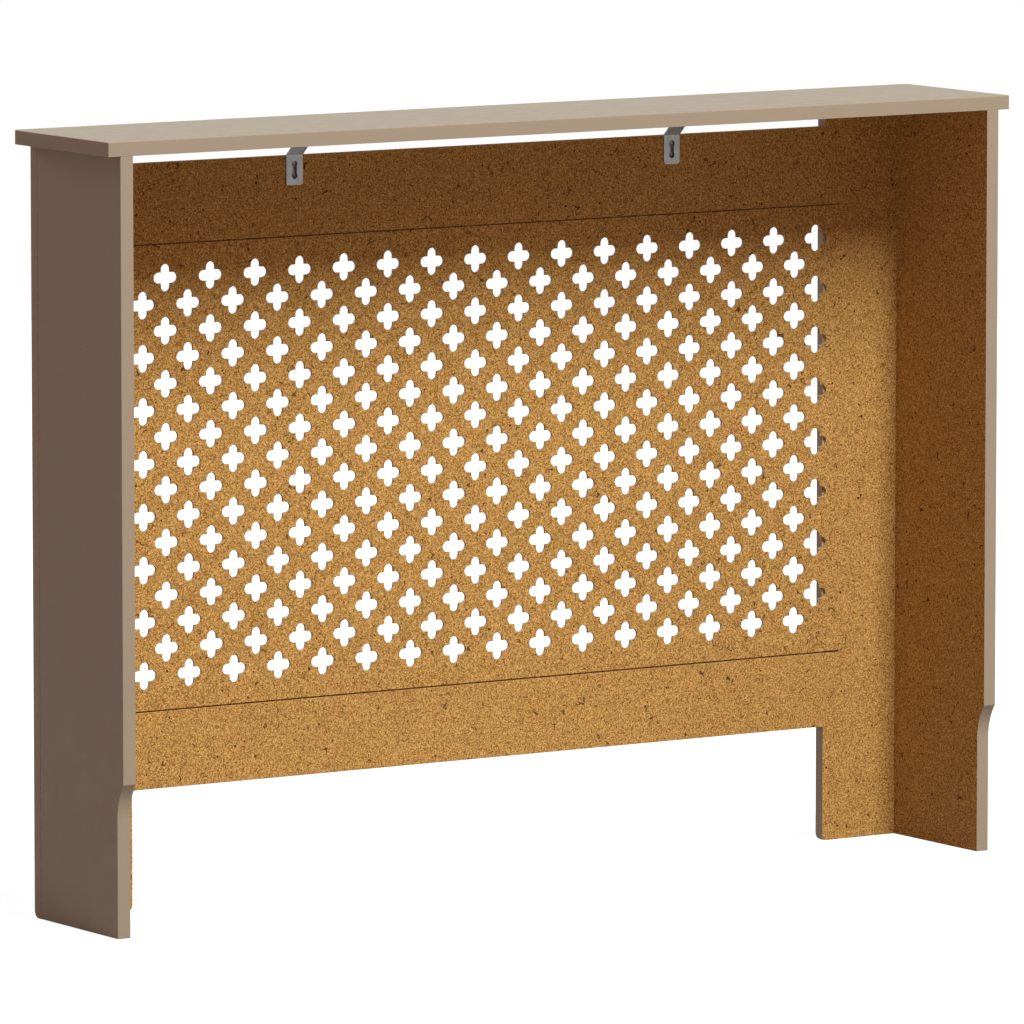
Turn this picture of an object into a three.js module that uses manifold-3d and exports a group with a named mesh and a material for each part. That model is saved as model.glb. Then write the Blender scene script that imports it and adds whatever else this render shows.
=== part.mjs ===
// A freestanding radiator cover cabinet, flat-packed in MDF. A shelf lies on two side panels, and a
// front frame of two stiles and two rails holds a thin grille panel with quatrefoil cutouts.
// Sizes are millimetres. +X is to the right seen from the front, +Y points to the wall and +Z is up.
// The origin is on the floor, under the middle of the shelf.

import * as THREE from 'three';
import { mergeVertices } from 'three/addons/utils/BufferGeometryUtils.js';
import Module from 'manifold-3d';

const wasm = await Module();
wasm.setup();

// ---- Driving dimensions ----

const OVERALL_WIDTH = 1120;
const OVERALL_DEPTH = 190;
const OVERALL_HEIGHT = 817;

const SHELF_THICKNESS = 15;
const SHELF_SIDE_OVERHANG = 14;
const SHELF_FRONT_OVERHANG = 10;
const SHELF_CORNER_RADIUS = 4;

const SIDE_THICKNESS = 15;
const SKIRTING_DEPTH = 12;
const SKIRTING_STRAIGHT_HEIGHT = 124;
const SKIRTING_COVE_HEIGHT = 36;

const FRAME_THICKNESS = 13;
const STILE_WIDTH = 110;
const TOE_RADIUS = 8;
const FOOT_CORNER_RADIUS = 4;
const COOL_AIR_HEIGHT = 125;
const WARM_AIR_HEIGHT = 25;
const BOTTOM_RAIL_HEIGHT = 101;
const TOP_RAIL_HEIGHT = 104;

const GRILLE_THICKNESS = 3;
const GRILLE_LAP = 20.5;
const GRILLE_END_GAP = 0.8;
const GRILLE_SIDE_GAP = 0.15;

const CUTOUT_SPAN = 28.8;
const CUTOUT_LOBE_WIDTH = 11.4;
const CUTOUT_BLUNT_WIDTH = 8.4;
const CUTOUT_BLUNT_SETBACK = 0.4;
const CUTOUT_COLUMN_PITCH = 27.25;
const CUTOUT_ROW_PITCH = 27.58;
const CUTOUT_SHIFT_X = -2.4;
const CUTOUT_SHIFT_Z = 1.2;

const BRACKET_SPACING = 473;
const BRACKET_WIDTH = 20;
const BRACKET_THICKNESS = 1.5;
const BRACKET_LEG_HEIGHT = 31.5;
const BRACKET_BEND_ABOVE_RAIL = 1;
const BRACKET_REACH = 27;
const BRACKET_FLANGE_LENGTH = 28;
const BRACKET_BEND_RADIUS = 3;
const BRACKET_CORNER_RADIUS = 2;
const BRACKET_SLOT_LENGTH = 19;
const BRACKET_SLOT_END_DIAMETER = 7;
const BRACKET_SLOT_WAIST_WIDTH = 5.4;

const SCREW_SPACING = 12;
const SCREW_END_MARGIN = 7;
const SCREW_DIAMETER = 3.5;
const SCREW_HEAD_DIAMETER = 7;
const SCREW_HEAD_HEIGHT = 2.2;
const SCREW_GRIP = 9;
const SCREW_POINT_LENGTH = 3;
const SCREW_HEAD_CROWN = 0.7;

const THICK_DOWEL_DIAMETER = 8;
const THIN_DOWEL_DIAMETER = 6;
const DOWEL_CHAMFER = 0.8;
const DOWEL_SKIN = 4;
const SIDE_TOP_DOWEL_DEPTH = 20;
const STILE_TOP_DOWEL_DEPTH = 15;
const SIDE_EDGE_DOWEL_DEPTH = 15;
const RAIL_DOWEL_DEPTH = 15;
const SIDE_TOP_DOWEL_MARGIN = 40;
const STILE_BACK_DOWEL_MARGIN = 60;
const STILE_BACK_DOWEL_COUNT = 3;
const RAIL_DOWEL_MARGIN = 20;

const FIT_CLEARANCE = 0.3;
const ROUND_SIDES = 12;
const SLOT_END_SIDES = 20;
const ARC_STEPS = 6;

// ---- Places worked out from the driving dimensions ----

const rearY = OVERALL_DEPTH / 2;
const shelfFrontY = -OVERALL_DEPTH / 2;
const frameFrontY = shelfFrontY + SHELF_FRONT_OVERHANG;
const frameBackY = frameFrontY + FRAME_THICKNESS;
const frameMiddleY = (frameFrontY + frameBackY) / 2;
const shelfBottomZ = OVERALL_HEIGHT - SHELF_THICKNESS;

const sideOuterX = OVERALL_WIDTH / 2 - SHELF_SIDE_OVERHANG;
const sideMiddleX = sideOuterX - SIDE_THICKNESS / 2;
const stileInnerX = sideOuterX - STILE_WIDTH;
const stileMiddleX = sideOuterX - STILE_WIDTH / 2;

const bottomRailTopZ = COOL_AIR_HEIGHT + BOTTOM_RAIL_HEIGHT;
const topRailTopZ = shelfBottomZ - WARM_AIR_HEIGHT;
const topRailBottomZ = topRailTopZ - TOP_RAIL_HEIGHT;

const rebateX = stileInnerX + GRILLE_LAP;
const rebateBottomZ = bottomRailTopZ - GRILLE_LAP;
const rebateTopZ = topRailBottomZ + GRILLE_LAP;
const rebateFrontY = frameBackY - GRILLE_THICKNESS;

// ---- Materials ----

const paint = new THREE.MeshStandardMaterial({ color: 0x9c8c7b, roughness: 0.55, metalness: 0 });
const rawBoard = new THREE.MeshStandardMaterial({ color: 0xb58850, roughness: 0.85, metalness: 0 });
const zinc = new THREE.MeshStandardMaterial({ color: 0x8d8c8a, roughness: 0.4, metalness: 0.9 });
const beech = new THREE.MeshStandardMaterial({ color: 0xcaa678, roughness: 0.7, metalness: 0 });

// ---- Solids: extrusions, cuts and joins ----

function solidFrom(geometry) {
  const bare = geometry.clone();
  bare.deleteAttribute('normal');
  bare.deleteAttribute('uv');
  const merged = mergeVertices(bare);
  const mesh = new wasm.Mesh({
    numProp: 3,
    vertProperties: new Float32Array(merged.attributes.position.array),
    triVerts: new Uint32Array(merged.index.array),
  });
  return new wasm.Manifold(mesh);
}

function geometryFrom(solid) {
  const mesh = solid.getMesh();
  const geometry = new THREE.BufferGeometry();
  geometry.setAttribute('position', new THREE.BufferAttribute(mesh.vertProperties, 3));
  geometry.setIndex(new THREE.BufferAttribute(mesh.triVerts, 1));
  return geometry;
}

function shapeFrom(points) {
  return new THREE.Shape(points.map(([u, v]) => new THREE.Vector2(u, v)));
}

function extrude(shape, depth) {
  return new THREE.ExtrudeGeometry(shape, { depth, bevelEnabled: false });
}

// An outline of [y, z] points, extruded over the span x0 to x1.
function extrudeAlongX(outline, x0, x1) {
  const turn = new THREE.Matrix4().makeBasis(
    new THREE.Vector3(0, 1, 0),
    new THREE.Vector3(0, 0, 1),
    new THREE.Vector3(1, 0, 0),
  );
  return extrude(shapeFrom(outline), x1 - x0).applyMatrix4(turn).translate(x0, 0, 0);
}

// A shape in x and z, extruded over the span y0 to y1.
function extrudeAlongY(shape, y0, y1) {
  const turn = new THREE.Matrix4().makeBasis(
    new THREE.Vector3(1, 0, 0),
    new THREE.Vector3(0, 0, 1),
    new THREE.Vector3(0, -1, 0),
  );
  return extrude(shape, y1 - y0).applyMatrix4(turn).translate(0, y1, 0);
}

function block(low, high) {
  const size = high.map((value, i) => value - low[i]);
  const middle = high.map((value, i) => (value + low[i]) / 2);
  return new THREE.BoxGeometry(...size).translate(...middle);
}

// Points on an arc about a centre, from one angle in degrees to another.
function arc(centreU, centreV, radius, fromDegrees, toDegrees) {
  const points = [];
  for (let i = 0; i <= ARC_STEPS; i += 1) {
    const angle = THREE.MathUtils.degToRad(fromDegrees + ((toDegrees - fromDegrees) * i) / ARC_STEPS);
    points.push([centreU + radius * Math.cos(angle), centreV + radius * Math.sin(angle)]);
  }
  return points;
}

// ---- Pins: the hidden dowels and the bracket screws ----

const PIN_TURNS = {
  x: new THREE.Euler(0, 0, -Math.PI / 2),
  y: new THREE.Euler(0, 0, 0),
  z: new THREE.Euler(Math.PI / 2, 0, 0),
};

// A blind hole for a pin, wider and longer than the pin by the fit clearance all round, in the
// coordinates of a board whose own origin is at boardOrigin.
function pinHole(pin, boardOrigin) {
  const radius = pin.radius + FIT_CLEARANCE;
  const length = pin.length + 2 * FIT_CLEARANCE;
  const hole = new THREE.CylinderGeometry(radius, radius, length, ROUND_SIDES);
  const turn = new THREE.Matrix4().makeRotationFromEuler(PIN_TURNS[pin.axis]);
  const place = pin.centre.clone().sub(boardOrigin);
  return solidFrom(hole.applyMatrix4(turn).translate(place.x, place.y, place.z));
}

function drill(geometry, boardOrigin, pins) {
  let solid = solidFrom(geometry);
  for (const pin of pins) {
    solid = solid.subtract(pinHole(pin, boardOrigin));
  }
  return geometryFrom(solid);
}

// A dowel along one axis. low and high are the ends of its two blind holes.
function dowel(name, diameter, axis, middle, low, high) {
  const centre = middle.clone();
  centre[axis] = (low + high) / 2;
  return { name, axis, centre, radius: diameter / 2, length: high - low - 2 * FIT_CLEARANCE };
}

function sideName(side) {
  return side > 0 ? 'right' : 'left';
}

function spread(low, high, count) {
  return Array.from({ length: count }, (_, i) => low + ((high - low) * i) / (count - 1));
}

function shelfDowels(side) {
  const boardTop = OVERALL_HEIGHT - DOWEL_SKIN;
  const firstY = frameBackY + SIDE_TOP_DOWEL_MARGIN;
  const pins = spread(firstY, rearY - SIDE_TOP_DOWEL_MARGIN, 2).map((y, i) => {
    const name = `dowel_shelf_side_${sideName(side)}_${i + 1}`;
    const middle = new THREE.Vector3(side * sideMiddleX, y, 0);
    const low = shelfBottomZ - SIDE_TOP_DOWEL_DEPTH;
    return dowel(name, THICK_DOWEL_DIAMETER, 'z', middle, low, boardTop);
  });
  const middle = new THREE.Vector3(side * stileMiddleX, frameMiddleY, 0);
  const low = shelfBottomZ - STILE_TOP_DOWEL_DEPTH;
  pins.push(dowel(`dowel_shelf_stile_${sideName(side)}`, THIN_DOWEL_DIAMETER, 'z', middle, low, boardTop));
  return pins;
}

function stileBackDowels(side) {
  const lowZ = STILE_BACK_DOWEL_MARGIN;
  const highZ = shelfBottomZ - STILE_BACK_DOWEL_MARGIN;
  return spread(lowZ, highZ, STILE_BACK_DOWEL_COUNT).map((z, i) => {
    const middle = new THREE.Vector3(side * sideMiddleX, 0, z);
    const low = frameFrontY + DOWEL_SKIN;
    const high = frameBackY + SIDE_EDGE_DOWEL_DEPTH;
    const name = `dowel_stile_side_${sideName(side)}_${i + 1}`;
    return dowel(name, THIN_DOWEL_DIAMETER, 'y', middle, low, high);
  });
}

function railDowels(side, rail, lowZ, highZ) {
  return spread(lowZ + RAIL_DOWEL_MARGIN, highZ - RAIL_DOWEL_MARGIN, 2).map((z, i) => {
    const middle = new THREE.Vector3(0, frameMiddleY, z);
    const ends = [side * (stileInnerX - RAIL_DOWEL_DEPTH), side * (stileInnerX + RAIL_DOWEL_DEPTH)];
    const name = `dowel_${rail}_rail_${sideName(side)}_${i + 1}`;
    return dowel(name, THIN_DOWEL_DIAMETER, 'x', middle, Math.min(...ends), Math.max(...ends));
  });
}

const SIDES = [-1, 1];
const dowels = SIDES.flatMap((side) => [
  ...shelfDowels(side),
  ...stileBackDowels(side),
  ...railDowels(side, 'bottom', COOL_AIR_HEIGHT, rebateBottomZ),
  ...railDowels(side, 'top', rebateTopZ, topRailTopZ),
]);

// The screws go up through a bracket's flange into the shelf. Each pin is the screw's shank.
const flangeEndY = frameBackY + BRACKET_REACH + BRACKET_FLANGE_LENGTH;
const flangeBottomZ = shelfBottomZ - BRACKET_THICKNESS;

function bracketScrews(side) {
  const lastY = flangeEndY - SCREW_END_MARGIN;
  const length = BRACKET_THICKNESS + SCREW_GRIP;
  return spread(lastY - SCREW_SPACING, lastY, 2).map((y, i) => ({
    name: `bracket_screw_${sideName(side)}_${i + 1}`,
    axis: 'z',
    centre: new THREE.Vector3((side * BRACKET_SPACING) / 2, y, flangeBottomZ + length / 2),
    radius: SCREW_DIAMETER / 2,
    length,
  }));
}

const screws = SIDES.flatMap(bracketScrews);

// ---- Boards ----

function boardMesh(name, geometry, position, material) {
  const mesh = new THREE.Mesh(geometry, material);
  mesh.name = name;
  mesh.position.copy(position);
  return mesh;
}

// The shelf: rounded at its two front corners, square and flush at the wall.
function topShelf() {
  const halfWidth = OVERALL_WIDTH / 2;
  const r = SHELF_CORNER_RADIUS;
  const outline = [
    [halfWidth, rearY],
    [-halfWidth, rearY],
    ...arc(-halfWidth + r, shelfFrontY + r, r, 180, 270),
    ...arc(halfWidth - r, shelfFrontY + r, r, 270, 360),
  ];
  const origin = new THREE.Vector3(0, 0, shelfBottomZ);
  const board = extrude(shapeFrom(outline), SHELF_THICKNESS);
  return boardMesh('top_shelf', drill(board, origin, [...dowels, ...screws]), origin, paint);
}

// A side panel: the lower rear edge is cut away for a skirting board, and a concave cove leads
// from the wall edge into the cut.
function sidePanel(side) {
  const coveRadius = (SKIRTING_COVE_HEIGHT ** 2 + SKIRTING_DEPTH ** 2) / (2 * SKIRTING_DEPTH);
  const coveAngle = THREE.MathUtils.radToDeg(Math.asin(SKIRTING_COVE_HEIGHT / coveRadius));
  const coveCentreY = rearY - SKIRTING_DEPTH + coveRadius;
  const outline = [
    [frameBackY, 0],
    [rearY - SKIRTING_DEPTH, 0],
    ...arc(coveCentreY, SKIRTING_STRAIGHT_HEIGHT, coveRadius, 180, 180 - coveAngle),
    [rearY, shelfBottomZ],
    [frameBackY, shelfBottomZ],
  ];
  const origin = new THREE.Vector3(side * sideMiddleX, 0, 0);
  const board = extrudeAlongX(outline, -SIDE_THICKNESS / 2, SIDE_THICKNESS / 2);
  return boardMesh(`${sideName(side)}_side_panel`, drill(board, origin, dowels), origin, paint);
}

// The corner that a stile's foot loses where it is rounded, between the floor and its inner edge.
function footCornerWaste(side) {
  const r = FOOT_CORNER_RADIUS;
  const innerX = -side * (STILE_WIDTH / 2);
  const outline = [
    [innerX - side, -1],
    [innerX + side * r, -1],
    ...arc(innerX + side * r, r, r, 270, side > 0 ? 180 : 360),
    [innerX - side, r],
  ];
  return extrudeAlongY(shapeFrom(outline), -FRAME_THICKNESS, FRAME_THICKNESS);
}

// The recess in the back of a stile that takes the grille panel's edge.
function stileRebate(side) {
  const inner = -side * (STILE_WIDTH / 2 + 1);
  const outer = side * (rebateX - stileMiddleX);
  const low = [Math.min(inner, outer), FRAME_THICKNESS / 2 - GRILLE_THICKNESS, rebateBottomZ];
  const high = [Math.max(inner, outer), FRAME_THICKNESS, rebateTopZ];
  return block(low, high);
}

function stile(side) {
  const half = FRAME_THICKNESS / 2;
  const outline = [
    ...arc(-half + TOE_RADIUS, TOE_RADIUS, TOE_RADIUS, 180, 270),
    [half, 0],
    [half, shelfBottomZ],
    [-half, shelfBottomZ],
  ];
  const origin = new THREE.Vector3(side * stileMiddleX, frameMiddleY, 0);
  const cut = solidFrom(extrudeAlongX(outline, -STILE_WIDTH / 2, STILE_WIDTH / 2))
    .subtract(solidFrom(footCornerWaste(side)))
    .subtract(solidFrom(stileRebate(side)));
  const board = drill(geometryFrom(cut), origin, dowels);
  return boardMesh(`${sideName(side)}_stile`, board, origin, rawBoard);
}

// A rail between the stiles. Its section is rebated at the back, along the edge at the grille.
function rail(name, bottomZ, topZ, grilleAbove) {
  const half = FRAME_THICKNESS / 2;
  const height = topZ - bottomZ;
  const lapZ = grilleAbove ? height - GRILLE_LAP : GRILLE_LAP;
  const recessY = half - GRILLE_THICKNESS;
  const plainEnd = grilleAbove ? 0 : height;
  const grilleEnd = height - plainEnd;
  const outline = [
    [-half, plainEnd],
    [half, plainEnd],
    [half, lapZ],
    [recessY, lapZ],
    [recessY, grilleEnd],
    [-half, grilleEnd],
  ];
  const origin = new THREE.Vector3(0, frameMiddleY, bottomZ);
  const board = extrudeAlongX(outline, -stileInnerX, stileInnerX);
  return boardMesh(name, drill(board, origin, dowels), origin, rawBoard);
}

// ---- Grille panel ----

// One cutout: two slots crossed at right angles. The lobes that point sideways are cut blunt and
// the upright ones come to a point, as many corners as a panel with so many cutouts can carry.
function cutoutOutline(centreX, centreZ) {
  const tip = CUTOUT_SPAN / 2;
  const waist = CUTOUT_LOBE_WIDTH / 2;
  const quarter = [
    [tip - CUTOUT_BLUNT_SETBACK, CUTOUT_BLUNT_WIDTH / 2],
    [waist, waist],
  ];
  const mirrored = quarter.toReversed().map(([u, v]) => [-u, v]);
  const upper = [...quarter, [0, tip], ...mirrored];
  const lower = upper.map(([u, v]) => [-u, -v]);
  return [...upper, ...lower].map(([u, v]) => new THREE.Vector2(centreX + u, centreZ + v));
}

// Cutout centres on a diamond lattice that fills the frame's opening.
function cutoutCentres() {
  const openingHeight = topRailBottomZ - bottomRailTopZ;
  const columns = Math.round((2 * stileInnerX) / CUTOUT_COLUMN_PITCH);
  const rows = Math.round(openingHeight / CUTOUT_ROW_PITCH);
  const firstX = CUTOUT_SHIFT_X + ((columns - 1) / 2) * CUTOUT_COLUMN_PITCH;
  const middleZ = (topRailBottomZ + bottomRailTopZ) / 2 + CUTOUT_SHIFT_Z;
  const firstZ = middleZ - ((rows - 1) / 2) * CUTOUT_ROW_PITCH;
  const centres = [];
  for (let column = 0; column < columns; column += 1) {
    for (let row = column % 2; row < rows; row += 2) {
      centres.push([firstX - column * CUTOUT_COLUMN_PITCH, firstZ + row * CUTOUT_ROW_PITCH]);
    }
  }
  return centres;
}

function grillePanel() {
  const halfWidth = rebateX - GRILLE_SIDE_GAP;
  const bottom = rebateBottomZ + GRILLE_END_GAP;
  const top = rebateTopZ - GRILLE_END_GAP;
  const shape = shapeFrom([
    [-halfWidth, bottom],
    [halfWidth, bottom],
    [halfWidth, top],
    [-halfWidth, top],
  ]);
  for (const [x, z] of cutoutCentres()) {
    shape.holes.push(new THREE.Path(cutoutOutline(x, z)));
  }
  const geometry = extrudeAlongY(shape, 0, GRILLE_THICKNESS);
  const origin = new THREE.Vector3(0, rebateFrontY, 0);
  return boardMesh('grille_panel', geometry, origin, rawBoard);
}

// ---- Stay brackets ----

// The face of the bent strip that lies against the rail and the shelf: a leg up from its foot, a
// bend, a slanted stretch, a second bend and a flange. Both bends are arcs about their centres.
function bracketFace() {
  const bendZ = topRailTopZ + BRACKET_BEND_ABOVE_RAIL;
  const rise = shelfBottomZ - bendZ;
  const slope = THREE.MathUtils.radToDeg(Math.atan2(BRACKET_REACH, rise));
  const r = BRACKET_BEND_RADIUS;
  const lowerBack = r * Math.tan(THREE.MathUtils.degToRad(slope / 2));
  const upperBack = r * Math.tan(THREE.MathUtils.degToRad((90 - slope) / 2));
  const lowerCentre = [frameBackY + r, bendZ - lowerBack];
  const upperCentre = [frameBackY + BRACKET_REACH + upperBack, shelfBottomZ - r];
  return {
    start: [frameBackY, bendZ - BRACKET_LEG_HEIGHT],
    bends: [
      { centre: lowerCentre, from: 180, to: 180 - slope },
      { centre: upperCentre, from: 180 - slope, to: 90 },
    ],
    end: [flangeEndY, shelfBottomZ],
  };
}

function bracketOutline() {
  const face = bracketFace();
  const bendArcs = (radius) => face.bends.flatMap((b) => arc(...b.centre, radius, b.from, b.to));
  const [startY, startZ] = face.start;
  const [endY, endZ] = face.end;
  return [
    [startY, startZ],
    ...bendArcs(BRACKET_BEND_RADIUS),
    [endY, endZ],
    [endY, endZ - BRACKET_THICKNESS],
    ...bendArcs(BRACKET_BEND_RADIUS - BRACKET_THICKNESS).toReversed(),
    [startY + BRACKET_THICKNESS, startZ],
  ];
}

// The dog-bone slot in the leg: two round ends joined by a narrower waist.
function bracketSlot() {
  const legMiddleZ = topRailTopZ + BRACKET_BEND_ABOVE_RAIL - BRACKET_LEG_HEIGHT / 2;
  const endRadius = BRACKET_SLOT_END_DIAMETER / 2;
  const endOffset = BRACKET_SLOT_LENGTH / 2 - endRadius;
  const half = BRACKET_SLOT_WAIST_WIDTH / 2;
  const reach = 2 * BRACKET_THICKNESS;
  const low = [-half, frameBackY - reach, legMiddleZ - endOffset];
  const high = [half, frameBackY + reach, legMiddleZ + endOffset];
  let slot = solidFrom(block(low, high));
  for (const offset of [-endOffset, endOffset]) {
    const end = new THREE.CylinderGeometry(endRadius, endRadius, 2 * reach, SLOT_END_SIDES);
    slot = slot.add(solidFrom(end.translate(0, frameBackY, legMiddleZ + offset)));
  }
  return slot;
}

// A plate as wide as the strip with its two lower corners rounded, which trims the leg's foot.
function bracketTrim() {
  const half = BRACKET_WIDTH / 2;
  const r = BRACKET_CORNER_RADIUS;
  const footZ = bracketFace().start[1];
  const shape = shapeFrom([
    [half, OVERALL_HEIGHT],
    [-half, OVERALL_HEIGHT],
    ...arc(-half + r, footZ + r, r, 180, 270),
    ...arc(half - r, footZ + r, r, 270, 360),
  ]);
  return extrudeAlongY(shape, frameBackY - 1, rearY);
}

function stayBracket(side) {
  const origin = new THREE.Vector3((side * BRACKET_SPACING) / 2, 0, 0);
  const strip = extrudeAlongX(bracketOutline(), -BRACKET_WIDTH / 2, BRACKET_WIDTH / 2);
  const cut = solidFrom(strip).intersect(solidFrom(bracketTrim())).subtract(bracketSlot());
  const drilled = drill(geometryFrom(cut), origin, screws);
  return boardMesh(`${sideName(side)}_stay_bracket`, drilled, origin, zinc);
}

// ---- Dowels and screws ----

// A turned piece whose profile runs from axis to axis along +Y, then laid along its own axis.
function turnedMesh(pin, profile, material) {
  const points = profile.map(([radius, along]) => new THREE.Vector2(radius, along));
  const mesh = new THREE.Mesh(new THREE.LatheGeometry(points, ROUND_SIDES), material);
  mesh.name = pin.name;
  mesh.rotation.copy(PIN_TURNS[pin.axis]);
  mesh.position.copy(pin.centre);
  return mesh;
}

function dowelMesh(pin) {
  const end = pin.length / 2;
  const profile = [
    [0, -end],
    [pin.radius - DOWEL_CHAMFER, -end],
    [pin.radius, -end + DOWEL_CHAMFER],
    [pin.radius, end - DOWEL_CHAMFER],
    [pin.radius - DOWEL_CHAMFER, end],
    [0, end],
  ];
  return turnedMesh(pin, profile, beech);
}

function screwMesh(pin) {
  const end = pin.length / 2;
  const headRadius = SCREW_HEAD_DIAMETER / 2;
  const profile = [
    [0, -end - SCREW_HEAD_HEIGHT],
    [headRadius * SCREW_HEAD_CROWN, -end - SCREW_HEAD_HEIGHT],
    [headRadius, -end - SCREW_HEAD_HEIGHT / 2],
    [headRadius, -end],
    [pin.radius, -end],
    [pin.radius, end - SCREW_POINT_LENGTH],
    [0, end],
  ];
  return turnedMesh(pin, profile, zinc);
}

// ---- Assembly ----

const frontFrame = new THREE.Group();
frontFrame.add(
  ...SIDES.map(stile),
  rail('bottom_rail', COOL_AIR_HEIGHT, bottomRailTopZ, true),
  rail('top_rail', topRailBottomZ, topRailTopZ, false),
  grillePanel(),
);

const fittings = new THREE.Group();
fittings.add(...SIDES.map(stayBracket), ...screws.map(screwMesh), ...dowels.map(dowelMesh));

const cabinet = new THREE.Group();
cabinet.add(topShelf(), ...SIDES.map(sidePanel), frontFrame, fittings);

export default cabinet;
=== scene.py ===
"""The finished look of a radiator cover cabinet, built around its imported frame.

The frame is in metres: +X is to the right seen from the front, +Y points to the wall and +Z is up.
Lengths here are in millimetres, and MM turns them into metres. Only those of the floor, the lamps
and the camera are in metres.
"""

import math

import bmesh
import bpy
from mathutils import Matrix, Vector


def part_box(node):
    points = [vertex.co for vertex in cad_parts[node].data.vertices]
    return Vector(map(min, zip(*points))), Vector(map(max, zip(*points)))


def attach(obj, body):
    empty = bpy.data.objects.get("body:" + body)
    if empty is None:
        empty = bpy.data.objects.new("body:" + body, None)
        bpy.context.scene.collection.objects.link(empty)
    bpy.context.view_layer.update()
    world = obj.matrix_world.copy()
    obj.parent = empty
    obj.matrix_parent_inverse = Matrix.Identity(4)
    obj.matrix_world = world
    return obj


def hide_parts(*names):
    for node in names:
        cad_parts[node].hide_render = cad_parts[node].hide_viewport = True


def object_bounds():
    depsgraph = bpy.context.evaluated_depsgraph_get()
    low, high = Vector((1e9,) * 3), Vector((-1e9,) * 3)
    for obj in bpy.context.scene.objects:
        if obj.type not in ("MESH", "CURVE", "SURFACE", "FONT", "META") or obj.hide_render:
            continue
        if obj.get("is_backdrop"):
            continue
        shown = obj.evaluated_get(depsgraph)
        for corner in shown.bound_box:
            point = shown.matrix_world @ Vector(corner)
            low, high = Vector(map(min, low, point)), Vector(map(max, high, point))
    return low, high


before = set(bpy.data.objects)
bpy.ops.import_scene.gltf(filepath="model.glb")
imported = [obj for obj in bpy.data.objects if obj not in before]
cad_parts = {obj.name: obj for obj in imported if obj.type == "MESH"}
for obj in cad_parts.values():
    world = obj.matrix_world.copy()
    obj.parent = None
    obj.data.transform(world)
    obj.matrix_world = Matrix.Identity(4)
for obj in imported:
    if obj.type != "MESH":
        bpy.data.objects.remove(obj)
cad_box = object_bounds()

MM = 0.001
SIDES = ("left", "right")

# ---- Sizes that the frame's boxes don't give ----

SHELF_CORNER_RADIUS = 4
SKIRTING_DEPTH = 12
SKIRTING_STRAIGHT_HEIGHT = 124
SKIRTING_COVE_HEIGHT = 36
TOE_RADIUS = 8
FOOT_CORNER_RADIUS = 4
GRILLE_LAP = 20.5

# An arris is the small radius of an eased edge.
SHELF_ARRIS = 1.0
SIDE_ARRIS = 0.8
FRAME_ARRIS = 0.6
RAW_ARRIS = 0.25
TIGHT_ARRIS = 0.05
CUTOUT_ARRIS = 0.2
BRACKET_ARRIS = 0.2

CUTOUT_LOBE_RADIUS = 5.7
CUTOUT_SPAN = 28.8
CUTOUT_COLUMN_PITCH = 27.25
CUTOUT_ROW_PITCH = 27.58
CUTOUT_COLUMNS = 32
CUTOUT_ROWS = 16
CUTOUT_SHIFT_X = -2.4
CUTOUT_SHIFT_Z = 1.2
SHEET_CREASE_LOW = 1.0
SHEET_CREASE_HIGH = 0.5

BRACKET_THICKNESS = 1.5
BRACKET_BEND_ABOVE_RAIL = 1
BRACKET_LEG_HEIGHT = 31.5
BRACKET_REACH = 27
BRACKET_BEND_RADIUS = 3
BRACKET_CORNER_RADIUS = 2
BRACKET_SLOT_LENGTH = 19
BRACKET_SLOT_END_DIAMETER = 7
BRACKET_SLOT_WAIST_WIDTH = 5.4
POCKET_DEPTH = 7

SCREWS_PER_BRACKET = 2
SCREW_DIAMETER = 3.5
SCREW_HEAD_DIAMETER = 7
SCREW_HEAD_HEIGHT = 2.2
SCREW_HEAD_RIM = 0.4
SCREW_POINT_LENGTH = 3
SCREW_HOLE_CLEARANCE = 0.3
RECESS_WIDTH = 1.1
RECESS_SPAN = 4.2
RECESS_DEPTH = 1.3

# ---- How fine and how exact the meshes are ----

ARC_STEPS = 12
LOBE_STEPS = 8
SCREW_SIDES = 32
DOME_STEP_DEGREES = 15
ARRIS_SEGMENTS = 3
BRACKET_ARRIS_SEGMENTS = 2
SHARP_DEGREES = 25
FLAT_FACE_WEIGHT = 100
OVERCUT = 1  # how far a cutting tool reaches past what it cuts
INSET = 1  # how far the middles of a region's faces lie within its outline
TOLERANCE = 0.01
WELD_DISTANCE = 0.001


def node_box(name):
    """The lowest and highest corner of a CAD node, in millimetres."""
    low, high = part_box(name)
    return low / MM, high / MM


# ---- Mesh helpers ----

AXIS_PLACES = {
    "x": lambda u, v, a: (a, u, v),
    "y": lambda u, v, a: (u, a, v),
    "z": lambda u, v, a: (u, v, a),
}


def arc(centre_u, centre_v, radius, from_degrees, to_degrees, steps=ARC_STEPS):
    """Points on an arc about a centre, from one angle to another."""
    points = []
    for i in range(steps + 1):
        angle = math.radians(from_degrees + (to_degrees - from_degrees) * i / steps)
        points.append((centre_u + radius * math.cos(angle), centre_v + radius * math.sin(angle)))
    return points


def circle(centre_u, centre_v, radius):
    """A screw's or a screw hole's outline."""
    return arc(centre_u, centre_v, radius, 0, 360, SCREW_SIDES)[:-1]


def rectangle(u0, v0, u1, v1):
    return [(u0, v0), (u1, v0), (u1, v1), (u0, v1)]


def new_mesh(name, bm):
    """A mesh of what the bmesh holds. The bmesh is freed."""
    mesh = bpy.data.meshes.new(name)
    bm.to_mesh(mesh)
    bm.free()
    return mesh


def new_object(name, data):
    obj = bpy.data.objects.new(name, data)
    bpy.context.scene.collection.objects.link(obj)
    return obj


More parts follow.
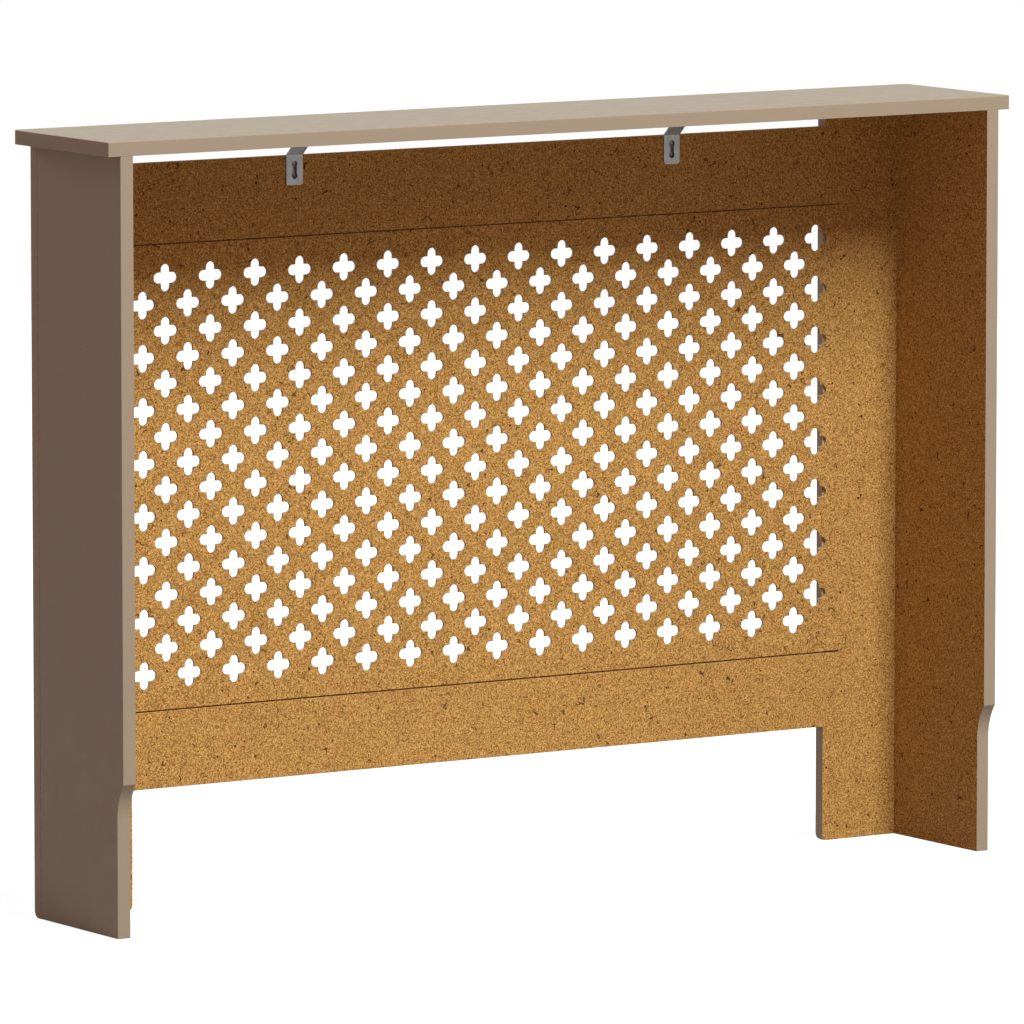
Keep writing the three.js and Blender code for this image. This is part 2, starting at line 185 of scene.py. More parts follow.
def prism(name, outline, axis, low, high):
    """A solid with an outline of (u, v) points, extruded along one axis from low to high."""
    place = AXIS_PLACES[axis]
    bm = bmesh.new()
    rings = []
    for a in (low, high):
        rings.append([bm.verts.new(Vector(place(u, v, a)) * MM) for u, v in outline])
    bm.faces.new(rings[0])
    bm.faces.new(rings[1])
    count = len(outline)
    for i in range(count):
        j = (i + 1) % count
        bm.faces.new((rings[0][i], rings[0][j], rings[1][j], rings[1][i]))
    bmesh.ops.recalc_face_normals(bm, faces=bm.faces)
    return new_object(name, new_mesh(name, bm))


def turned(name, profile, centre_x, centre_y):
    """A solid of revolution about an upright axis, from (radius, z) points, low to high."""
    bm = bmesh.new()
    rings = []
    for radius, z in profile:
        ring = circle(centre_x, centre_y, radius) if radius else [(centre_x, centre_y)]
        rings.append([bm.verts.new(Vector((x, y, z)) * MM) for x, y in ring])
    for below, above in zip(rings, rings[1:]):
        for i in range(SCREW_SIDES):
            j = (i + 1) % SCREW_SIDES
            corners = [below[i % len(below)], below[j % len(below)]]
            corners += [above[j % len(above)], above[i % len(above)]]
            bm.faces.new(list(dict.fromkeys(corners)))
    bmesh.ops.recalc_face_normals(bm, faces=bm.faces)
    return new_object(name, new_mesh(name, bm))


def evaluated_mesh(obj):
    """A new mesh of what the object's modifiers, or its curve's settings, make of it."""
    depsgraph = bpy.context.evaluated_depsgraph_get()
    depsgraph.update()
    return bpy.data.meshes.new_from_object(obj.evaluated_get(depsgraph))


def apply_modifiers(obj):
    """Replaces the object's mesh by what its modifiers make of it."""
    mesh = evaluated_mesh(obj)
    obj.modifiers.clear()
    obj.data = mesh


def combine(obj, tool, operation):
    """Cuts tool from obj, or keeps what they share, and removes the tool."""
    modifier = obj.modifiers.new(operation, "BOOLEAN")
    modifier.operation = operation
    modifier.object = tool
    modifier.solver = "EXACT"
    apply_modifiers(obj)
    bpy.data.objects.remove(tool)


def ease_edges(obj, radius_of, segments=ARRIS_SEGMENTS):
    """Rounds each sharp outer edge to the radius that radius_of(middle point) gives it."""
    bm = bmesh.new()
    bm.from_mesh(obj.data)
    layer = bm.edges.layers.float.new("bevel_weight_edge")
    sharp = math.radians(SHARP_DEGREES)
    radii = {}
    for edge in bm.edges:
        if edge.is_manifold and edge.is_convex and edge.calc_face_angle() > sharp:
            middle = (edge.verts[0].co + edge.verts[1].co) / (2 * MM)
            radii[edge] = radius_of(middle)
    widest = max(radii.values())
    for edge, radius in radii.items():
        edge[layer] = radius / widest
    bm.to_mesh(obj.data)
    bm.free()
    modifier = obj.modifiers.new("arris", "BEVEL")
    modifier.limit_method = "WEIGHT"
    modifier.offset_type = "OFFSET"
    modifier.width = widest * MM
    modifier.segments = segments
    modifier.use_clamp_overlap = True
    apply_modifiers(obj)


def smooth(obj):
    """Smooth shading that leaves the large flat faces flat."""
    for polygon in obj.data.polygons:
        polygon.use_smooth = True
    modifier = obj.modifiers.new("normals", "WEIGHTED_NORMAL")
    modifier.mode = "FACE_AREA"
    modifier.weight = FLAT_FACE_WEIGHT
    modifier.keep_sharp = True
    apply_modifiers(obj)


def dress(obj, materials, index_of):
    """Gives each face the material whose number index_of(normal, centre) returns."""
    obj.data.materials.clear()
    for material in materials:
        obj.data.materials.append(material)
    for polygon in obj.data.polygons:
        polygon.material_index = index_of(polygon.normal, polygon.center / MM)


def stand_for(obj, slot, *nodes):
    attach(obj, "root")
    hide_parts(*nodes)


# ---- Material helpers ----

OBJECT_SHIFT = 731.0
MIDDLE_OF_NOISE = 0.5


class Graph:
    """The node tree of a new material or world, with short calls to add and link nodes."""

    def __init__(self, owner):
        owner.use_nodes = True
        self.owner = owner
        self.tree = owner.node_tree
        self.tree.nodes.clear()

    def add(self, kind, settings=None, inputs=None):
        """A new node. Each of its inputs takes a value or a link from another node's output."""
        node = self.tree.nodes.new(kind)
        for key, value in (settings or {}).items():
            setattr(node, key, value)
        for key, value in (inputs or {}).items():
            if isinstance(value, bpy.types.NodeSocket):
                self.tree.links.new(value, node.inputs[key])
            else:
                node.inputs[key].default_value = value
        return node

    def math(self, operation, a, b=0.0):
        return self.add("ShaderNodeMath", {"operation": operation}, {0: a, 1: b}).outputs[0]

    def vector_math(self, operation, a, b):
        return self.add("ShaderNodeVectorMath", {"operation": operation}, {0: a, 1: b}).outputs[0]

    def position(self, scale=(1, 1, 1)):
        """Object coordinates in millimetres, times scale, and shifted differently per object."""
        place = self.add("ShaderNodeTexCoord").outputs["Object"]
        scaled = self.vector_math("MULTIPLY", place, tuple(s / MM for s in scale))
        chance = self.add("ShaderNodeObjectInfo").outputs["Random"]
        shift = self.math("MULTIPLY", chance, OBJECT_SHIFT)
        return self.vector_math("ADD", scaled, shift)

    def noise(self, where, size, detail, roughness, output="Fac"):
        """Fractal noise whose features are about size millimetres wide."""
        inputs = {"Vector": where, "Scale": 1 / size, "Detail": detail, "Roughness": roughness}
        return self.add("ShaderNodeTexNoise", None, inputs).outputs[output]

    def contour(self, where, noise):
        """How far a noise is from its middle value, which it has along winding lines."""
        above = self.math("SUBTRACT", self.noise(where, *noise), MIDDLE_OF_NOISE)
        return self.math("ABSOLUTE", above)

    def cells(self, where, spacing):
        """Distance to the nearest of scattered points, as a share of their spacing."""
        inputs = {"Vector": where, "Scale": 1 / spacing, "Randomness": 1.0}
        return self.add("ShaderNodeTexVoronoi", {"feature": "F1"}, inputs).outputs["Distance"]

    def spots(self, where, spacing, inner, outer, strength=1.0):
        """Round spots about scattered points, which fade out between two distances from them."""
        return self.ramp(self.cells(where, spacing), inner, outer, strength, 0.0)

    def ramp(self, value, from_low, from_high, to_low=0.0, to_high=1.0):
        settings = {"interpolation_type": "SMOOTHSTEP", "clamp": True}
        inputs = {0: value, 1: from_low, 2: from_high, 3: to_low, 4: to_high}
        return self.add("ShaderNodeMapRange", settings, inputs).outputs[0]

    def mix(self, factor, a, b, blend="MIX"):
        settings = {"data_type": "RGBA", "blend_type": blend}
        inputs = {"Factor": factor, 6: a, 7: b}
        return self.add("ShaderNodeMix", settings, inputs).outputs[2]

    def shade(self, colour, tone):
        return self.mix(1.0, colour, tone, "MULTIPLY")

    def bump(self, height, distance):
        inputs = {"Height": height, "Distance": distance * MM, "Strength": 1.0}
        return self.add("ShaderNodeBump", None, inputs).outputs[0]

    def surface(self, inputs):
        shader = self.add("ShaderNodeBsdfPrincipled", None, inputs)
        self.finish(shader)
        return self.owner

    def finish(self, shader, output="ShaderNodeOutputMaterial"):
        self.add(output, None, {"Surface": shader.outputs[0]})


def material_graph(name):
    return Graph(bpy.data.materials.new(name))


def grey(value):
    return (value, value, value, 1.0)


# ---- Materials ----

PAINT = (0.367, 0.303, 0.218, 1.0)
# The shelf's top gets a darker, greyer copy of PAINT: painted shade that takes back the extra light
# the top catches from above.
SHADED_TOP_PAINT = (0.312, 0.285, 0.216, 1.0)
PAINT_SPECK = (0.10, 0.075, 0.055, 1.0)
RAW_BASE = (0.551, 0.300, 0.076, 1.0)
RAW_LIGHT = (0.78, 0.49, 0.165, 1.0)
RAW_DARK = (0.221, 0.104, 0.024, 1.0)
RAW_FLECK = (0.077, 0.031, 0.0078, 1.0)
ZINC = (0.272, 0.267, 0.264, 1.0)
BEECH_LIGHT = (0.62, 0.41, 0.22, 1.0)
BEECH_DARK = (0.42, 0.24, 0.11, 1.0)

# Each noise is (size, detail, roughness): how wide its features are, how many finer layers lie
# on them, and how strong these are.
PAINT_DRIFT = (90.0, 2.0, 0.5)
PAINT_MOTTLE = (2.5, 3.0, 0.6)
PAINT_SHEEN = (12.0, 3.0, 0.5)
BOARD_WARP = (9.0, 1.0, 0.5)
BOARD_GRAIN = (1.9, 3.0, 0.65)
BOARD_CLOUDS = (26.0, 2.0, 0.5)
BOARD_NAP = (1.1, 3.0, 0.6)
DOT_SPREAD = (17.0, 0.0, 0.5)
HAIR_PLACES = (8.0, 1.0, 0.5)
HAIR_PATHS = (15.0, 1.0, 0.5)
ZINC_CRYSTALS = (5.0, 3.0, 0.6)
ZINC_LINES = (1.2, 2.0, 0.5)
BEECH_RAYS = (0.9, 3.0, 0.5)
BEECH_PORES = (0.6, 2.0, 0.5)

# The same without the size, which fibres have of their own.
FIBRE_PATHS = (1.0, 0.5)
FIBRE_GAPS = (0.0, 0.5)

# How far a noise is squeezed together (above 1) or drawn out (below 1) along each axis.
ZINC_LINES_SCALE = (4.0, 0.2, 0.2)
BEECH_RAYS_SCALE = (1.0, 1.0, 0.15)

# A coat is its orange peel's noise, the height of the peel, and how far the mottle shifts the tone.
FACE_COAT = ((1.6, 2.0, 0.5), 0.012, 0.02)
EDGE_COAT = ((0.8, 2.0, 0.5), 0.03, 0.05)
DRIFT_TONE = 0.04

# Spots are (spacing, inner, outer): they fade out between these two shares of the spacing.
PAINT_SPECKS = (34.0, 0.012, 0.022)
BOARD_FLECKS = (6.0, 0.09, 0.15)
FLECK_STRENGTH = 0.85
DOT_SPACING = 11.0
DOT_EDGE = (0.200, 0.225)
DOT_UNEVENNESS = 0.35

# Layers of fibres are (shift, size, shade, share): a place of their own in a noise and its size,
# their colour, and how much of it they show. A second noise, of a share of that size, breaks them.
FIBRES = (
    (0.0, 2.1, RAW_DARK, 0.95),
    (57.0, 2.1, RAW_LIGHT, 0.8),
    (91.0, 2.7, RAW_DARK, 0.7),
)
FIBRE_BREAK_SIZE = 0.8

# Pairs of values between which a ramp runs, first those that it reads and then those it gives.
USUAL_NOISE = (0.3, 0.7)
LIGHT_GRAIN = (0.44, 0.74)
DARK_GRAIN = (0.52, 0.28)
FIBRE_LINE = (0.02, 0.09)
FIBRE_BREAK = (0.44, 0.54)
HAIR_LINE = (0.010, 0.020)
RARE = (0.62, 0.65)
RAY_CONTRAST = (0.35, 0.65)
HAIR_STRENGTH = (0.85, 0.0)
CLOUD_TONE = (0.95, 1.05)
CRYSTAL_TONE = (0.90, 1.08)
PAINT_ROUGHNESS = (0.50, 0.60)
BOARD_ROUGHNESS = (0.95, 0.85)
ZINC_ROUGHNESS = (0.40, 0.54)
BEECH_ROUGHNESS = (0.75, 0.6)

WARP_REACH = 9.0
NAP_HEIGHT = 0.12
ZINC_LINE_HEIGHT = 0.01
BEECH_PORE_DEPTH = 0.05
MATT_SPECULAR = 0.1
ZINC_METALLIC = 0.85


def paint_material(name, paint, coat):
    """Satin taupe paint: a fine orange-peel skin, faint unevenness and a few dust specks."""
    peel, peel_height, mottle_tone = coat
    g = material_graph(name)
    where = g.position()
    drift = g.math("MULTIPLY", g.noise(where, *PAINT_DRIFT), DRIFT_TONE)
    mottle = g.math("MULTIPLY", g.noise(where, *PAINT_MOTTLE), mottle_tone)
    tone = g.math("ADD", g.math("ADD", drift, mottle), 1 - DRIFT_TONE / 2 - mottle_tone / 2)
    specks = g.spots(where, *PAINT_SPECKS)
    return g.surface({
        "Base Color": g.mix(specks, g.shade(paint, tone), PAINT_SPECK),
        "Roughness": g.ramp(g.noise(where, *PAINT_SHEEN), *USUAL_NOISE, *PAINT_ROUGHNESS),
        "Normal": g.bump(g.noise(where, *peel), peel_height),
        "Specular IOR Level": MATT_SPECULAR,
    })


def bend(g, where):
    """Places pushed to and fro by a noise, so that fibres curl."""
    push = g.noise(where, *BOARD_WARP, "Color")
    return g.vector_math("ADD", where, g.vector_math("MULTIPLY", push, (WARP_REACH,) * 3))


def fibres(g, where, size):
    """Short curved strands: a noise's contour lines, broken up by another noise."""
    line = g.ramp(g.contour(where, (size, *FIBRE_PATHS)), *FIBRE_LINE, 1.0, 0.0)
    pieces = g.ramp(g.noise(where, FIBRE_BREAK_SIZE * size, *FIBRE_GAPS), *FIBRE_BREAK)
    return g.math("MULTIPLY", line, pieces)


def felt(g, where, bent, grain):
    """The colour of pressed fibres: light and dark grain, faint clouds and curled strands."""
    colour = g.mix(g.ramp(grain, *LIGHT_GRAIN), RAW_BASE, RAW_LIGHT)
    colour = g.mix(g.ramp(grain, *DARK_GRAIN), colour, RAW_DARK)
    clouds = g.noise(where, *BOARD_CLOUDS)
    colour = g.shade(colour, g.ramp(clouds, *USUAL_NOISE, *CLOUD_TONE))
    for shift, size, shade, share in FIBRES:
        strands = fibres(g, g.vector_math("ADD", bent, (shift,) * 3), size)
        colour = g.mix(g.math("MULTIPLY", strands, share), colour, shade)
    return colour


def dots(g, where):
    """Round dots that are small or missing where a noise is high."""
    uneven = g.math("MULTIPLY", g.noise(where, *DOT_SPREAD), DOT_UNEVENNESS)
    distance = g.math("ADD", g.cells(where, DOT_SPACING), uneven)
    return g.ramp(distance, *DOT_EDGE, 1.0, 0.0)


def hairs(g, where):
    """Stray hairs along a noise's contour lines, in a few places."""
    rare = g.ramp(g.noise(where, *HAIR_PLACES), *RARE)
    line = g.ramp(g.contour(where, HAIR_PATHS), *HAIR_LINE, *HAIR_STRENGTH)
    return g.math("MULTIPLY", line, rare)


def raw_board_material(name):
    """Bare fibreboard: felted short fibres, light and dark, with flecks, dots and stray hairs."""
    g = material_graph(name)
    where = g.position()
    bent = bend(g, where)
    grain = g.noise(where, *BOARD_GRAIN)
    colour = felt(g, where, bent, grain)
    flecks = g.spots(bent, *BOARD_FLECKS, FLECK_STRENGTH)
    for mark in (flecks, dots(g, where), hairs(g, where)):
        colour = g.mix(mark, colour, RAW_FLECK)
    return g.surface({
        "Base Color": colour,
        "Roughness": g.ramp(grain, *USUAL_NOISE, *BOARD_ROUGHNESS),
        "Normal": g.bump(g.noise(where, *BOARD_NAP), NAP_HEIGHT),
        "Specular IOR Level": MATT_SPECULAR,
    })


def zinc_material(name):
    """Zinc-plated steel: faint crystals in its tone and fine rolling lines along the strip."""
    g = material_graph(name)
    crystals = g.noise(g.position(), *ZINC_CRYSTALS)
    lines = g.noise(g.position(ZINC_LINES_SCALE), *ZINC_LINES)
    return g.surface({
        "Base Color": g.shade(ZINC, g.ramp(crystals, *USUAL_NOISE, *CRYSTAL_TONE)),
        "Metallic": ZINC_METALLIC,
        "Roughness": g.ramp(lines, *USUAL_NOISE, *ZINC_ROUGHNESS),
        "Normal": g.bump(lines, ZINC_LINE_HEIGHT),
    })


def beech_material(name):
    """Beech dowel: short dark rays in a pale pink brown."""
    g = material_graph(name)
    rays = g.noise(g.position(BEECH_RAYS_SCALE), *BEECH_RAYS)
    return g.surface({
        "Base Color": g.mix(g.ramp(rays, *RAY_CONTRAST), BEECH_DARK, BEECH_LIGHT),
        "Roughness": g.ramp(rays, *USUAL_NOISE, *BEECH_ROUGHNESS),
        "Normal": g.bump(g.noise(g.position(), *BEECH_PORES), BEECH_PORE_DEPTH),
    })


paint_face = paint_material("painted_face", PAINT, FACE_COAT)
paint_top_shaded = paint_material("painted_top_shaded", SHADED_TOP_PAINT, FACE_COAT)
paint_edge = paint_material("painted_edge", PAINT, EDGE_COAT)
raw_board = raw_board_material("raw_board")
zinc = zinc_material("zinc_plate")
beech = beech_material("beech")

BOARD_MATERIALS = (paint_face, paint_edge, raw_board)
# The shelf's top face takes the darker top paint, which is painted shade.
SHELF_MATERIALS = (paint_top_shaded, paint_edge, raw_board)
RAIL_MATERIALS = (*BOARD_MATERIALS, zinc)
# The last material lines the top rail's pockets: painted shade that turns the shade in them grey.
FACE, EDGE, RAW, SHADE_LINING = range(len(RAIL_MATERIALS))
ALONG = 0.9  # a face looks along a direction where their cosine is above this


def dress_board(obj, raw_direction, is_bare=lambda centre: False, materials=BOARD_MATERIALS):
    """Paint on the face that is seen and on the edges, and bare board on the face that isn't.

    Faces whose centre is_bare names are bare as well.
    """
    direction = Vector(raw_direction)

    def index_of(normal, centre):
        facing = normal.dot(direction)
        if facing > ALONG or is_bare(centre):
            return RAW
        return FACE if facing < -ALONG else EDGE

    dress(obj, materials, index_of)


def dress_metal(obj):
    dress(obj, [zinc], lambda normal, centre: 0)


# ---- Boards ----

BACKWARD = (0, 1, 0)
DOWNWARD = (0, 0, -1)

shelf_low, shelf_high = node_box("top_shelf")
stile_low, stile_high = node_box("left_stile")
rail_high = node_box("bottom_rail")[1]
top_rail_low, top_rail_high = node_box("top_rail")
grille_low, grille_high = node_box("grille_panel")
frame_front = stile_low.y
frame_back = stile_high.y
rebate_x = rail_high.x + GRILLE_LAP
rebate_low = rail_high.z - GRILLE_LAP
rebate_high = top_rail_low.z + GRILLE_LAP
grille_front = grille_low.y


def in_rebate(centre):
    """True on the faces that a rebate for the grille leaves in a stile or a rail."""
    beside = abs(centre.x) < rebate_x + TOLERANCE
    between = rebate_low - TOLERANCE < centre.z < rebate_high + TOLERANCE
    return beside and between and centre.y > grille_front - TOLERANCE


def arris_rule(axis, raw_place, painted_radius):
    """The small radius on edges at the bare face, and the painted one elsewhere."""

    def radius_of(middle):
        if abs(middle[axis] - raw_place) > TOLERANCE:
            return painted_radius
        return TIGHT_ARRIS if abs(abs(middle.x) - rebate_x) < TOLERANCE else RAW_ARRIS

    return radius_of


def shelf_board():
    r = SHELF_CORNER_RADIUS
    outline = [
        (shelf_high.x, shelf_high.y),
        (shelf_low.x, shelf_high.y),
        *arc(shelf_low.x + r, shelf_low.y + r, r, 180, 270),
        *arc(shelf_high.x - r, shelf_low.y + r, r, 270, 360),
    ]
    obj = prism("shelf_board", outline, "z", shelf_low.z, shelf_high.z)
    ease_edges(obj, arris_rule(2, shelf_low.z, SHELF_ARRIS))
    smooth(obj)
    dress_board(obj, DOWNWARD, materials=SHELF_MATERIALS)
    stand_for(obj, "painted_board", "top_shelf")


def side_board(side):
    """A side panel, whose lower rear edge is cut back in a cove to clear a skirting board."""
    node = f"{side}_side_panel"
    low, high = node_box(node)
    toward_middle, raw_place = (1, high.x) if side == "left" else (-1, low.x)
    cove_radius = (SKIRTING_COVE_HEIGHT ** 2 + SKIRTING_DEPTH ** 2) / (2 * SKIRTING_DEPTH)
    cove_angle = math.degrees(math.asin(SKIRTING_COVE_HEIGHT / cove_radius))
    cove_centre = high.y - SKIRTING_DEPTH + cove_radius
    outline = [
        (low.y, low.z),
        (high.y - SKIRTING_DEPTH, low.z),
        *arc(cove_centre, SKIRTING_STRAIGHT_HEIGHT, cove_radius, 180, 180 - cove_angle),
        (high.y, high.z),
        (low.y, high.z),
    ]
    obj = prism(f"side_board_{side}", outline, "x", low.x, high.x)
    ease_edges(obj, arris_rule(0, raw_place, SIDE_ARRIS))
    smooth(obj)
    dress_board(obj, (toward_middle, 0, 0))
    stand_for(obj, "painted_board", node)


def foot_corner_waste(inner, outward):
    """What a stile's foot loses at its inner corner, where it is rounded."""
    r = FOOT_CORNER_RADIUS
    beyond = inner - outward * OVERCUT
    start, end = (270, 180) if outward > 0 else (270, 360)
    outline = [
        (beyond, -OVERCUT),
        (inner + outward * r, -OVERCUT),
        *arc(inner + outward * r, r, r, start, end),
        (beyond, r),
    ]
    return prism("waste", outline, "y", frame_front - OVERCUT, frame_back + OVERCUT)


def rebate_waste(inner, outward):
    """What a stile loses at its back, where the grille's edge lies."""
    beyond = inner - outward * OVERCUT
    outline = rectangle(beyond, rebate_low, outward * rebate_x, rebate_high)
    return prism("waste", outline, "y", grille_front, frame_back + OVERCUT)


def stile_board(side):
    node = f"{side}_stile"
    low, high = node_box(node)
    outward, inner = (-1, high.x) if side == "left" else (1, low.x)
    outline = [
        *arc(low.y + TOE_RADIUS, TOE_RADIUS, TOE_RADIUS, 180, 270),
        (high.y, low.z),
        (high.y, high.z),
        (low.y, high.z),
    ]
    obj = prism(f"stile_{side}", outline, "x", low.x, high.x)
    combine(obj, foot_corner_waste(inner, outward), "DIFFERENCE")
    combine(obj, rebate_waste(inner, outward), "DIFFERENCE")
    ease_edges(obj, arris_rule(1, frame_back, FRAME_ARRIS))
    smooth(obj)
    dress_board(obj, BACKWARD, in_rebate)
    stand_for(obj, "raw_board", node)


def rail(name, node, plain, lap, open_edge):
    """A rail from the height plain to open_edge, whose back is rebated from the height lap on."""
    low, high = node_box(node)
    outline = [
        (low.y, plain),
        (high.y, plain),
        (high.y, lap),
        (grille_front, lap),
        (grille_front, open_edge),
        (low.y, open_edge),
    ]
    return prism(name, outline, "x", low.x, high.x)


def finish_rail(obj, node, is_bare, materials=BOARD_MATERIALS):
    ease_edges(obj, arris_rule(1, frame_back, FRAME_ARRIS))
    smooth(obj)
    dress_board(obj, BACKWARD, is_bare, materials)
    stand_for(obj, "raw_board", node)


def bottom_rail():
    low = node_box("bottom_rail")[0]
    obj = rail("rail_bottom", "bottom_rail", low.z, rebate_low, rail_high.z)
    finish_rail(obj, "bottom_rail", in_rebate)


def rout_pockets(obj):
    """Blind pockets in the top rail behind the brackets' slots, for the head of a fixing."""
    for side in SIDES:
        floor_y = frame_back - POCKET_DEPTH
        tool = prism("pocket", slot_outline(side), "y", floor_y, frame_back + OVERCUT)
        combine(obj, tool, "DIFFERENCE")


def in_pocket(centre):
    """True on the faces that the pockets leave in the top rail."""
    sunk = frame_back - POCKET_DEPTH - TOLERANCE < centre.y < frame_back - RAW_ARRIS - TOLERANCE
    between = rebate_high + INSET < centre.z < top_rail_high.z - INSET
    return sunk and between and abs(centre.x) < top_rail_high.x - INSET


def line_pockets_for_grey_shade(obj):
    """Thin plated cups that line the pockets. Their grey metal is painted shade: it makes the deep
    shade in the pockets look dark grey instead of brown.
    """
    for polygon in obj.data.polygons:
        if in_pocket(polygon.center / MM):
            polygon.material_index = SHADE_LINING


def top_rail():
    """The upper rail. Its upper edge is bare, as is its rebate."""

    def is_bare(centre):
        return in_rebate(centre) or centre.z > top_rail_high.z - TOLERANCE

    obj = rail("rail_top", "top_rail", top_rail_high.z, rebate_high, top_rail_low.z)
    rout_pockets(obj)
    finish_rail(obj, "top_rail", is_bare, RAIL_MATERIALS)
    line_pockets_for_grey_shade(obj)


# ---- Grille ----


def quatrefoil(centre_x, centre_z):
    """Two crossed slots with round ends, as a closed outline."""
    r = CUTOUT_LOBE_RADIUS
    reach = CUTOUT_SPAN / 2 - r
    points = []
    for quarter in range(4):
        turn = math.radians(90 * quarter)
        lobe = [*arc(reach, 0, r, -90, 90, LOBE_STEPS), (r, r)]
        for u, v in lobe:
            x = u * math.cos(turn) - v * math.sin(turn)
            z = u * math.sin(turn) + v * math.cos(turn)
            points.append((centre_x + x, centre_z + z))
    return points


def cutout_centres():
    """A diamond lattice over the frame's opening."""
    middle_z = (rail_high.z + top_rail_low.z) / 2 + CUTOUT_SHIFT_Z
    first_x = CUTOUT_SHIFT_X + (CUTOUT_COLUMNS - 1) / 2 * CUTOUT_COLUMN_PITCH
    first_z = middle_z - (CUTOUT_ROWS - 1) / 2 * CUTOUT_ROW_PITCH
    for column in range(CUTOUT_COLUMNS):
        for row in range(column % 2, CUTOUT_ROWS, 2):
            yield first_x - column * CUTOUT_COLUMN_PITCH, first_z + row * CUTOUT_ROW_PITCH


def add_loop(curve, points):
    spline = curve.splines.new("POLY")
    spline.points.add(len(points) - 1)
    for point, (u, v) in zip(spline.points, points):
        point.co = (u * MM, v * MM, 0, 1)
    spline.use_cyclic_u = True


def sheet_curve(low_z, high_z):
    """The panel as a flat curve, whose bevel eases every edge of every cutout."""
    curve = bpy.data.curves.new("grille_outline", "CURVE")
    curve.dimensions = "2D"
    curve.fill_mode = "BOTH"
    half_width = rebate_x + CUTOUT_ARRIS
    add_loop(curve, rectangle(-half_width, low_z, half_width, high_z))
    for x, z in cutout_centres():
        add_loop(curve, quatrefoil(x, z))
    thickness = grille_high.y - grille_low.y
    curve.extrude = (thickness / 2 - CUTOUT_ARRIS) * MM
    curve.bevel_depth = CUTOUT_ARRIS * MM
    curve.bevel_resolution = 1
    curve.offset = -CUTOUT_ARRIS * MM
    return curve


def weld(mesh):
    """Joins points at the same place, so that the mesh is closed, and turns its faces outward."""
    bm = bmesh.new()
    bm.from_mesh(mesh)
    bmesh.ops.remove_doubles(bm, verts=bm.verts, dist=WELD_DISTANCE * MM)
    bmesh.ops.recalc_face_normals(bm, faces=bm.faces)
    bm.to_mesh(mesh)
    bm.free()


def grille_sheet():
    """The thin panel, made flat and stood upright in the frame's rebate."""
    low_z, high_z = grille_low.z + SHEET_CREASE_LOW, grille_high.z - SHEET_CREASE_HIGH
    rim_x = grille_high.x - 2 * CUTOUT_ARRIS

    def on_rim(centre):
        return abs(centre.x) > rim_x or not low_z + INSET < centre.z < high_z - INSET

    flat = new_object("grille_curve", sheet_curve(low_z, high_z))
    mesh = evaluated_mesh(flat)
    bpy.data.objects.remove(flat)
    middle_y = (grille_low.y + grille_high.y) / 2
    upright = Matrix.Rotation(math.radians(90), 4, "X")
    mesh.transform(Matrix.Translation((0, middle_y * MM, 0)) @ upright)
    weld(mesh)
    obj = new_object("grille_sheet", mesh)
    smooth(obj)
    dress_board(obj, BACKWARD, on_rim)
    stand_for(obj, "raw_board", "grille_panel")


# ---- Stay brackets and screws ----


def bracket_outline(shelf_bottom, flange_end):
    """A bent strip seen from the side: an upright leg, a slanted stay and a level flange."""
    bend_z = top_rail_high.z + BRACKET_BEND_ABOVE_RAIL
    slope = math.degrees(math.atan2(BRACKET_REACH, shelf_bottom - bend_z))
    r = BRACKET_BEND_RADIUS
    lower_back = r * math.tan(math.radians(slope / 2))
    upper_back = r * math.tan(math.radians((90 - slope) / 2))
    lower = (frame_back + r, bend_z - lower_back)
    upper = (frame_back + BRACKET_REACH + upper_back, shelf_bottom - r)
    foot_z = bend_z - BRACKET_LEG_HEIGHT

    def bends(radius):
        first = arc(*lower, radius, 180, 180 - slope)
        return first + arc(*upper, radius, 180 - slope, 90)

    return [
        (frame_back, foot_z),
        *bends(r),
        (flange_end, shelf_bottom),
        (flange_end, shelf_bottom - BRACKET_THICKNESS),
        *reversed(bends(r - BRACKET_THICKNESS)),
        (frame_back + BRACKET_THICKNESS, foot_z),
    ]


def slot_outline(side):
    """The dog-bone slot in a bracket's leg: two round ends joined by a narrower waist."""
    low, high = node_box(f"{side}_stay_bracket")
    centre_x, centre_z = (low.x + high.x) / 2, low.z + BRACKET_LEG_HEIGHT / 2
    r = BRACKET_SLOT_END_DIAMETER / 2
    reach = BRACKET_SLOT_LENGTH / 2 - r
    meet = math.degrees(math.asin(BRACKET_SLOT_WAIST_WIDTH / 2 / r))
    top = arc(centre_x, centre_z + reach, r, -90 + meet, 270 - meet, 2 * ARC_STEPS)
    bottom = arc(centre_x, centre_z - reach, r, 90 + meet, 450 - meet, 2 * ARC_STEPS)
    return top + bottom


def round_leg(obj, low, high):
    """Rounds the two lower corners of a bracket's leg."""
    r = BRACKET_CORNER_RADIUS
    outline = [
        (high.x, high.z + OVERCUT),
        (low.x, high.z + OVERCUT),
        *arc(low.x + r, low.z + r, r, 180, 270),
        *arc(high.x - r, low.z + r, r, 270, 360),
    ]
    combine(obj, prism("trim", outline, "y", low.y - OVERCUT, high.y + OVERCUT), "INTERSECT")


def screw_node(side, number):
    return f"bracket_screw_{side}_{number}"


def drill_flange(obj, side, middle_x, low_z, high_z):
    """The clearance holes of a bracket's screws."""
    for number in range(1, SCREWS_PER_BRACKET + 1):
        low, high = node_box(screw_node(side, number))
        radius = SCREW_DIAMETER / 2 + SCREW_HOLE_CLEARANCE
        hole = circle(middle_x, (low.y + high.y) / 2, radius)
        combine(obj, prism("hole", hole, "z", low_z, high_z), "DIFFERENCE")


